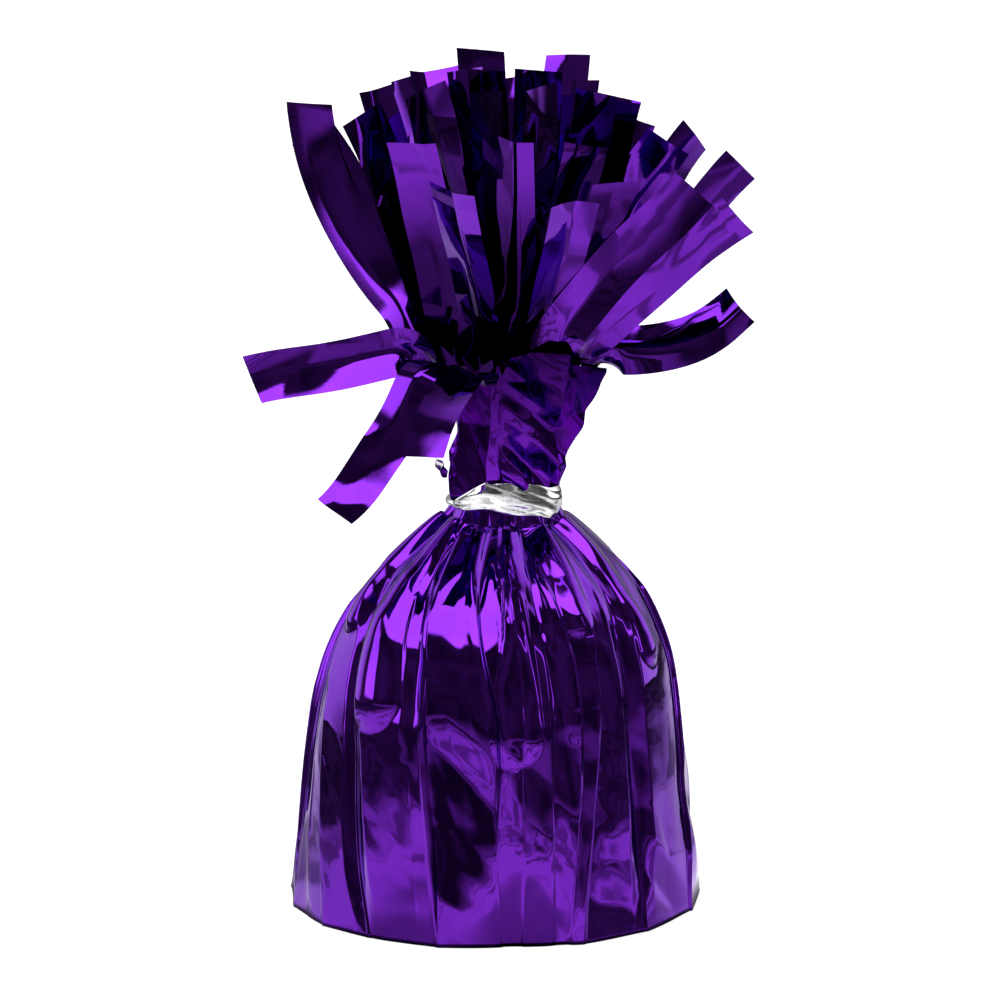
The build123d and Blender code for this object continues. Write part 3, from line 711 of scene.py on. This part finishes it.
# The bell's points move along the bell's own normal by the offset; the hem turns under at the base
def makeSkirt():
    share = np.linspace(0.0, 1.0, skirtGrid["rows"])[:, None]
    crowd = skirtGrid["topCrowd"]
    crowded = 1.0 - (1.0 - share) ** skirtGrid["topPower"]
    z = bell["topHeight"] * ((1.0 - crowd) * share + crowd * crowded)
    lines = skirtLines + backLines()
    angle, belly, lean, crush = columnsAlong(lines, z)
    z = z + np.zeros(angle.shape)
    nudge = 0.05
    slope = (bellRadius(z + nudge) - bellRadius(z - nudge)) / (2 * nudge)
    tilt = np.arctan(-slope)
    offset = skirtOffset(lines, angle, z, belly, lean, crush)
    inset = bell["inset"] * np.interp(z, bell["insetHeights"], bell["insetShares"])
    radius = (bellRadius(z) - inset + offset * np.cos(tilt)) * hemChord(lines, angle, z)
    height = np.maximum(z + offset * np.sin(tilt), hem["lowest"])
    upWall = np.minimum(z / bell["leanHeight"], 1.0) ** bell["leanPower"]
    shift = bell["wallLean"] * upWall + bell["domeLean"] * domeShare(z)
    turn = np.radians(angle)
    points = np.stack([shift + radius * np.sin(turn), -radius * np.cos(turn), height], axis=-1)
    lift = np.array([0.0, 0.0, hem["ringHeight"]])
    hemRings = [points[:1] * np.array([inward, inward, 0.0]) + lift for inward in hem["rings"]]
    points = np.concatenate(hemRings + [points], axis=0)
    skirt = gridPiece("foilSkirtFilm", points, purple, closed=True)
    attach(skirt, mainBody)
    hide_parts("foil_skirt")
    return skirt


skirt = makeSkirt()
print("skirt made")

soleForm = {"columns": 120, "rings": 30, "reach": 32.2, "height": 0.35, "crumple": 0.12}
soleWaves = {"pitch": 9.0, "count": 5, "seed": 41}


# Sole: rings of a disc just inside the hem, with faint crumples
def makeSole():
    turn = np.linspace(0, 2 * np.pi, soleForm["columns"], endpoint=False)[None, :]
    reach = np.linspace(0.0, soleForm["reach"], soleForm["rings"])[:, None]
    across, up = reach * np.cos(turn), reach * np.sin(turn)
    height = soleForm["height"] + soleForm["crumple"] * facets(across, up, soleWaves)
    points = np.stack([across, up, height], axis=-1)
    sole = gridPiece("foilSoleFilm", points[:, ::-1], purple, closed=True)
    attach(sole, mainBody)
    return sole


sole = makeSole()
print("sole made")

# Neck: the gathered film above the tie, flat panels between fold edges; each edge has angles from the front
# and radii at the neck heights, and its own rim height
neckHeights = (66.0, 70.0, 75.0, 82.0, 88.0, 93.0, 98.0)
neckEdges = [
    {"rim": 90.5, "angles": (-90, -92, -93, -90, -82, -80, -80),
     "radii": (8.4, 9.2, 9.8, 9.5, 10.8, 13.4, 15.0)},
    {"rim": 91.5, "angles": (-24, -22, -21, -20, -19, -19, -19),
     "radii": (7.5, 7.6, 7.7, 7.8, 9.4, 12.0, 14.0)},
    {"rim": 92.3, "angles": (-22, -19, -18, -17, -17, -17, -17),
     "radii": (8.2, 8.8, 9.9, 10.6, 12.2, 13.4, 15.0)},
    {"rim": 94.6, "angles": (-6, -4, -3, -4, -8, -10, -10),
     "radii": (8.0, 8.5, 9.2, 9.8, 11.6, 13.6, 16.0)},
    {"rim": 96.8, "angles": (18, 18, 20, 17, 12, 10, 9),
     "radii": (8.2, 9.1, 9.5, 9.4, 11.6, 14.0, 17.0)},
    {"rim": 95.8, "angles": (58, 57, 54, 44, 36, 34, 33),
     "radii": (8.3, 8.9, 10.0, 11.6, 13.8, 15.4, 17.6)},
    {"rim": 93.5, "angles": (62, 61, 59, 50, 43, 41, 41),
     "radii": (7.8, 8.2, 8.9, 10.1, 12.2, 14.0, 16.0)},
    {"rim": 91.4, "angles": (90, 88, 85, 80, 78, 78, 78),
     "radii": (8.3, 8.9, 10.2, 12.7, 14.8, 15.6, 16.6)},
    {"rim": 90.0, "angles": (118, 118, 119, 120, 121, 121, 121),
     "radii": (7.8, 8.2, 9.0, 10.6, 12.6, 13.4, 14.4)},
    {"rim": 91.0, "angles": (148, 148, 149, 150, 150, 150, 150),
     "radii": (8.3, 8.8, 10.0, 11.8, 13.9, 14.8, 15.8)},
    {"rim": 90.0, "angles": (172, 172, 172, 173, 174, 174, 174),
     "radii": (7.8, 8.2, 8.9, 10.4, 12.4, 13.2, 14.2)},
    {"rim": 90.6, "angles": (202, 202, 203, 204, 205, 205, 205),
     "radii": (8.3, 8.8, 10.0, 11.8, 13.9, 14.8, 15.8)},
    {"rim": 89.6, "angles": (230, 230, 231, 232, 232, 232, 232),
     "radii": (7.8, 8.2, 9.0, 10.6, 12.6, 13.4, 14.4)},
]
neckForm = {"rows": 72, "columnStep": 0.3, "leastColumns": 6, "lowShift": 1.5, "rimShift": 3.0,
            "shiftStart": 71.8, "shiftOver": 18.0, "middle": 2.2, "girthRadius": 11.0, "crumple": 1.9,
            "calmTop": 69.0, "calmOver": 6.0, "smoothFrom": -88.0, "smoothTo": -4.0, "smoothEdge": 6.0,
            "smoothShare": 0.8}
neckCrush = {"depth": 1.0, "pitch": (5.8, 7.0), "seed": 31, "fine": 0.35, "finePitch": (2.6, 3.4),
             "fineSeed": 33}


# Straight lines in plan from each fold edge to the next, row by row up to the rim, with crushed facets added
# outwards; the panels from the left to the front stay smoother. Rows run from the rim down, so the film's
# painted shade can darken it towards the rim.
def makeNeck():
    share = np.linspace(0.0, 1.0, neckForm["rows"])
    low = neckHeights[0]
    corners = []
    for edge in neckEdges:
        z = low + (edge["rim"] - low) * share
        turn = np.radians(np.interp(z, neckHeights, edge["angles"]))
        radius = np.interp(z, neckHeights, edge["radii"])
        moved = ease((z - neckForm["shiftStart"]) / neckForm["shiftOver"])
        shift = neckForm["lowShift"] + (neckForm["rimShift"] - neckForm["lowShift"]) * moved
        corners.append(np.stack([shift + radius * np.sin(turn), -radius * np.cos(turn), z], axis=-1))
    parts = []
    for a, b in zip(corners, corners[1:] + corners[:1]):
        widest = np.linalg.norm(a - b, axis=-1).max()
        count = max(neckForm["leastColumns"], int(widest / neckForm["columnStep"]))
        t = (np.arange(count) / count)[None, :, None]
        parts.append(a[:, None, :] * (1.0 - t) + b[:, None, :] * t)
    points = np.concatenate(parts, axis=1)
    height = points[..., 2]
    out = np.stack([points[..., 0] - neckForm["middle"], points[..., 1], 0.0 * height], axis=-1)
    out = out / np.linalg.norm(out, axis=-1, keepdims=True)
    degrees = np.degrees(np.arctan2(out[..., 0], -out[..., 1]))
    around = np.radians(degrees) * neckForm["girthRadius"]
    smooth = ease((degrees - neckForm["smoothFrom"]) / neckForm["smoothEdge"])
    smooth = smooth * ease((neckForm["smoothTo"] - degrees) / neckForm["smoothEdge"])
    calm = ease((height - neckForm["calmTop"]) / neckForm["calmOver"])
    calm = calm * (1.0 - neckForm["smoothShare"] * smooth)
    push = neckForm["crumple"] * calm * crumples(around, height, neckCrush)
    points = points + out * push[..., None]
    piece = gridPiece("foilNeckFilm", points[::-1, ::-1], neckPaintedShadeFilm, closed=True)
    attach(piece, mainBody)
    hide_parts("foil_neck")
    return piece


neckPiece = makeNeck()
print("neck made")

# Tie: a band of silver film drawn round the neck, crushed into long wrinkles and drawn to a point at the
# left. Its middle height and half width are given at angles from the front.
tie = {"radius": 9.4, "thick": 0.4, "shift": 1.5, "stations": 420, "points": 44, "endFade": 8.0,
       "angles": (-180, -120, -84, -62, -40, -18, 10, 45, 80, 120, 180),
       "middle": (68.6, 68.2, 68.0, 68.4, 69.6, 70.7, 70.3, 69.4, 68.4, 68.2, 68.6),
       "half": (1.2, 0.8, 0.5, 0.5, 1.5, 2.5, 2.6, 2.7, 2.6, 1.8, 1.2)}
tieWidthWaves = {"depth": 0.12, "pitch": 9.0, "count": 4, "seed": 52}
tieHeightWaves = {"depth": 0.25, "pitch": 8.0, "count": 4, "seed": 54}
tieCrush = {"depth": 0.22, "pitch": (8.0, 1.5), "seed": 51, "fine": 0.13, "finePitch": (3.1, 0.9),
            "fineSeed": 53}


# A flat oval carried round the neck; its wrinkles are crushed facets much longer than they are high
def makeTie():
    degrees = np.linspace(-180.0, 180.0, tie["stations"])[:, None]
    around = np.linspace(0.0, 2 * np.pi, tie["points"], endpoint=False)[None, :]
    turn = np.radians(degrees)
    run = turn * tie["radius"]
    swelling = 1.0 + tieWidthWaves["depth"] * swells(run, 0.0, tieWidthWaves)
    lift = np.interp(degrees, tie["angles"], tie["half"]) * swelling * np.sin(around)
    ends = ease((180.0 - np.abs(degrees)) / tie["endFade"])
    out = tie["radius"] + tie["thick"] * np.cos(around) + crumples(run, lift, tieCrush) * ends
    wander = tieHeightWaves["depth"] * ends * swells(run, 0.0, tieHeightWaves)
    height = np.interp(degrees, tie["angles"], tie["middle"]) + lift + wander
    points = np.stack([tie["shift"] + out * np.sin(turn), -out * np.cos(turn), height], axis=-1)
    piece = gridPiece("silverTieFilm", points, silver, closed=True)
    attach(piece, mainBody)
    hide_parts("tie_band")


tail = {"length": 7.0, "width": 1.7, "twist": 300.0, "lean": 28.0, "azimuth": 175.0, "low": 72.0, "gap": 0.2,
        "taper": 0.5, "rows": 48, "columns": 9, "wobble": 0.25, "wobblesAlong": 3.3, "wobblesAcross": 0.6}


# A narrow tapered ribbon rising along a leaning line, its width turning as it goes
def makeTail():
    share = np.linspace(0.0, 1.0, tail["rows"])[:, None]
    across = np.linspace(-0.5, 0.5, tail["columns"])[None, :]
    lean = math.radians(tail["lean"])
    azimuth = math.radians(tail["azimuth"])
    out = np.array([math.cos(azimuth), math.sin(azimuth), 0.0])
    side = np.array([-out[1], out[0], 0.0])
    rise = out * math.sin(lean) + np.array([0.0, 0.0, math.cos(lean)])
    normal = out * math.cos(lean) - np.array([0.0, 0.0, math.sin(lean)])
    root = np.array([tie["shift"], 0.0, tail["low"]]) + out * (tie["radius"] + tail["gap"])
    turn = np.radians(tail["twist"]) * share[..., None]
    widthWay = side * np.cos(turn) + normal * np.sin(turn)
    width = (tail["width"] * (1.0 - tail["taper"] * share) * across)[..., None]
    wobble = tail["wobble"] * zigzag(share * tail["wobblesAlong"] + across * tail["wobblesAcross"])
    points = root + rise * tail["length"] * share[..., None] + widthWay * width + wobble[..., None] * normal
    piece = gridPiece("silverTailFilm", points, silver)
    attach(piece, mainBody)
    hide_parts("tie_tail")


makeTie()
makeTail()
print("tie made")

# Fringe: cut strips on four rings, gathered at their roots to the room that the ring leaves
fringe = {"width": 8.2, "length": 47.0, "fill": 0.82, "rimLean": 22.0, "bendShare": 0.3, "openShare": 0.16,
          "rootHeight": 90.1, "shift": 3.0, "rows": 72, "columns": 15, "blendRows": (2, 14), "seed": 100}
# Each ring's film carries its own painted root shade
rings = {"inner": {"radius": 3.2, "slots": 4, "film": deepPaintedShadeFilm},
         "middle": {"radius": 6.6, "slots": 7, "film": innerPaintedShadeFilm},
         "upper": {"radius": 9.8, "slots": 11, "film": innerPaintedShadeFilm},
         "outer": {"radius": 13.0, "slots": 16, "film": outerPaintedShadeFilm}}
# Name, ring, the root's azimuth, heading, flare off vertical, droop beyond it, turn, and share of the length
strips = [
    ("fringe_inner_right_rear", "inner", 45, 45, 2, 1, 0, 1.05),
    ("fringe_inner_left_rear", "inner", 135, 135, 2, 1, 0, 1.07),
    ("fringe_inner_left_front", "inner", 225, 225, 3, 1, 0, 1.02),
    ("fringe_inner_right_front", "inner", 315, 315, 3, 1, 0, 1.04),
    ("fringe_middle_right_rear", "middle", 20, 20, 9, 2, -30, 1.0),
    ("fringe_middle_rear_right", "middle", 71, 71, 7, 2, 0, 1.05),
    ("fringe_middle_rear_left", "middle", 122, 122, 7, 2, 0, 1.06),
    ("fringe_middle_left", "middle", 174, 174, 9, 2, 40, 1.02),
    ("fringe_middle_left_front", "middle", 222, 222, 12, 2, 0, 0.98),
    ("fringe_middle_front", "middle", 271, 267, 22, 0, -8, 0.96),
    ("fringe_middle_right_front", "middle", 322, 328, 11, 2, 20, 0.86),
    ("fringe_upper_right", "upper", 355, 338, 16, 20, 40, 0.93),
    ("fringe_upper_right_rear", "upper", 27, 28, 12, 2, -35, 0.98),
    ("fringe_upper_rear_right", "upper", 60, 66, 15, 2, 0, 1.02),
    ("fringe_upper_rear", "upper", 102, 104, 15, 2, 0, 1.12),
    ("fringe_upper_rear_left", "upper", 134, 137, 16, 2, 0, 1.05),
    ("fringe_upper_left_rear", "upper", 167, 172, 20, 2, 45, 0.97),
    ("fringe_upper_left", "upper", 208, 242, 21, 4, -12, 0.96),
    ("fringe_upper_front_left", "upper", 243, 256, 34, 6, 10, 0.91),
    ("fringe_upper_front_right", "upper", 294, 290, 28, 6, 4, 0.80),
    ("fringe_upper_right_front", "upper", 325, 322, 18, 2, 30, 0.76),
    ("fringe_outer_right", "outer", 11, 14, 38, 7, -112, 0.91),
    ("fringe_outer_right_rear", "outer", 36, 12, 26, 11, -100, 0.92),
    ("fringe_outer_rear_right", "outer", 56, 49, 28, 2, -10, 0.93),
    ("fringe_outer_rear_mid_right", "outer", 78, 73, 26, 2, 0, 1.14),
    ("fringe_outer_rear", "outer", 98, 88, 24, 2, 0, 1.04),
    ("fringe_outer_rear_mid_left", "outer", 118, 111, 25, 2, 0, 1.08),
    ("fringe_outer_rear_left", "outer", 139, 126, 25, 2, 10, 1.04),
    ("fringe_outer_left_rear", "outer", 161, 140, 38, 4, 62, 1.0),
    ("fringe_outer_left", "outer", 183, 135, 56, -43, 64, 1.13),
    ("fringe_outer_front_right", "outer", 286, 329, 40, 8, 84, 1.0),
    ("fringe_outer_right_front", "outer", 311, 348, 46, 7, 66, 0.88),
    ("loose_strip_left", "outer", 205, 187, 102, -4, -104, 0.72),
    ("loose_strip_front_left", "outer", 227, 216, 152, -26, 33, 0.77),
    ("loose_strip_front", "outer", 250, 238, 111, 40, 0, 0.54),
    ("loose_strip_right", "outer", 336, 342, 87, -42, 100, 0.66),
]
# Strips whose painted root shade keeps them dark further out than the rest of their ring
stripFilm = {"fringe_upper_left": latePaintedShadeFilm, "fringe_upper_right_front": deepPaintedShadeFilm,
             "fringe_middle_right_front": deepPaintedShadeFilm, "fringe_middle_left_front": deepPaintedShadeFilm,
             "fringe_upper_left_rear": deepPaintedShadeFilm, "fringe_middle_front": latePaintedShadeFilm}
looseBodies = {"loose_strip_left": "strip_left", "loose_strip_front_left": "strip_front_left",
               "loose_strip_front": "strip_front", "loose_strip_right": "strip_right"}
# Waves along a strip and its twist in degrees, a V fold near its root, a curl further out, a crease along it
# that bends one side back, crushed facets and a slanted end; pairs are ranges of seeded values
stripLook = {"wave": 5.5, "waves": (1.2, 2.2), "twist": (-9.0, 9.0), "fold": 0.35, "foldEnd": 0.75,
             "foldPlace": (-0.3, 0.3), "foldMean": 0.5, "curl": 0.6, "curlMean": 0.33,
             "creasePlace": (-0.5, 0.5), "creaseBend": (-24.0, 24.0), "creaseStart": 0.1, "creaseOver": 0.3,
             "crush": 0.75, "crushPitch": (7.0, 13.0), "crushSeed": 500,
             "slant": 0.16, "slantStart": 0.7, "slantOver": 0.3}
# Strips with a crease of their own: where across the width it lies, and the bend of the side beyond it
stripCreases = {"fringe_middle_front": (0.25, 42.0), "loose_strip_left": (0.1, -20.0),
                "loose_strip_front_left": (0.0, 0.0), "loose_strip_front": (0.0, 0.0),
                "loose_strip_right": (0.2, 14.0)}


# Centre line: the angle off vertical goes from the root lean to the flare, then on by the droop, and its
# sines and cosines are summed up. The width turns about the line; near the root the strip is folded into a
# V, further out it curls and is crushed. Fold and curl are less their means across the width.
def stripPoints(strip, seed):
    node, ringName, rootAzimuth, heading, flare, droop, turn, lengthShare = strip
    chance = np.random.default_rng(seed)
    radius, slots = rings[ringName]["radius"], rings[ringName]["slots"]
    share = np.linspace(0.0, 1.0, fringe["rows"])[:, None]
    cross = np.linspace(-1.0, 1.0, fringe["columns"])[None, :]
    rootLean = fringe["rimLean"] * radius / rings["outer"]["radius"]
    bend = np.clip(share / fringe["bendShare"], 0.0, 1.0)
    later = np.clip((share - fringe["bendShare"]) / (1.0 - fringe["bendShare"]), 0.0, 1.0)
    phase = share * chance.uniform(*stripLook["waves"]) + chance.random()
    angle = rootLean + (flare - rootLean) * bend + droop * later
    angle = np.radians(angle + stripLook["wave"] * later * np.sin(2 * np.pi * phase))
    length = fringe["length"] * lengthShare
    step = length / (fringe["rows"] - 1)
    middles = (angle[1:] + angle[:-1]) / 2
    out = np.concatenate([[[0.0]], np.cumsum(np.sin(middles), axis=0) * step])
    up = np.concatenate([[[0.0]], np.cumsum(np.cos(middles), axis=0) * step])
    way = np.array([math.cos(math.radians(heading)), math.sin(math.radians(heading)), 0.0])
    side = np.array([-way[1], way[0], 0.0])
    top = np.array([0.0, 0.0, 1.0])
    phi = math.radians(rootAzimuth)
    root = np.array([fringe["shift"] + radius * math.cos(phi), radius * math.sin(phi), fringe["rootHeight"]])
    centre = root + way * out[..., None] + top * up[..., None]
    tangent = way * np.sin(angle)[..., None] + top * np.cos(angle)[..., None]
    normal = way * np.cos(angle)[..., None] - top * np.sin(angle)[..., None]
    twist = turn * ease(share / fringe["bendShare"]) + chance.uniform(*stripLook["twist"]) * later
    twist = np.radians(twist)[..., None]
    widthWay = side * np.cos(twist) + normal * np.sin(twist)
    faceWay = normal * np.cos(twist) - side * np.sin(twist)
    rootWidth = fringe["fill"] * 2 * radius * math.tan(math.pi / slots)
    halfWidth = (rootWidth + (fringe["width"] - rootWidth) * ease(share / fringe["openShare"])) / 2
    across = cross * halfWidth
    fold = stripLook["fold"] * chance.choice([-1.0, 1.0]) * (1.0 - ease(share / stripLook["foldEnd"]))
    curl = stripLook["curl"] * chance.uniform(-1.0, 1.0) * later
    fromFold = np.abs(cross - chance.uniform(*stripLook["foldPlace"])) - stripLook["foldMean"]
    face = fold * fromFold * halfWidth + curl * (cross ** 2 - stripLook["curlMean"])
    anyCrease = (chance.uniform(*stripLook["creasePlace"]), chance.uniform(*stripLook["creaseBend"]))
    creasePlace, creaseBend = stripCreases.get(node, anyCrease)
    bentBack = np.maximum(creasePlace - cross, 0.0) * halfWidth * math.tan(math.radians(creaseBend))
    face = face - bentBack * ease((share - stripLook["creaseStart"]) / stripLook["creaseOver"])
    crumple = shards(across, share * length, stripLook["crushPitch"], stripLook["crushSeed"] + seed)
    face = face + stripLook["crush"] * later * crumple
    slant = stripLook["slant"] * chance.uniform(-1.0, 1.0)
    slant = slant * ease((share - stripLook["slantStart"]) / stripLook["slantOver"])
    slide = slant * across
    points = centre + widthWay * across[..., None] + faceWay * face[..., None] + tangent * slide[..., None]
    return points, centre


for number, strip in enumerate(strips):
    node, ringName = strip[:2]
    points, centre = stripPoints(strip, fringe["seed"] + number)
    piece = gridPiece(node + "_film", points, stripFilm.get(node, rings[ringName]["film"]))
    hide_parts(node)
    if node in looseBodies:
        start, end = [centre[row, 0] * mm for row in fringe["blendRows"]]
        tuple(start)
        tuple(end)
        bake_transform(piece)
    else:
        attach(piece, mainBody)
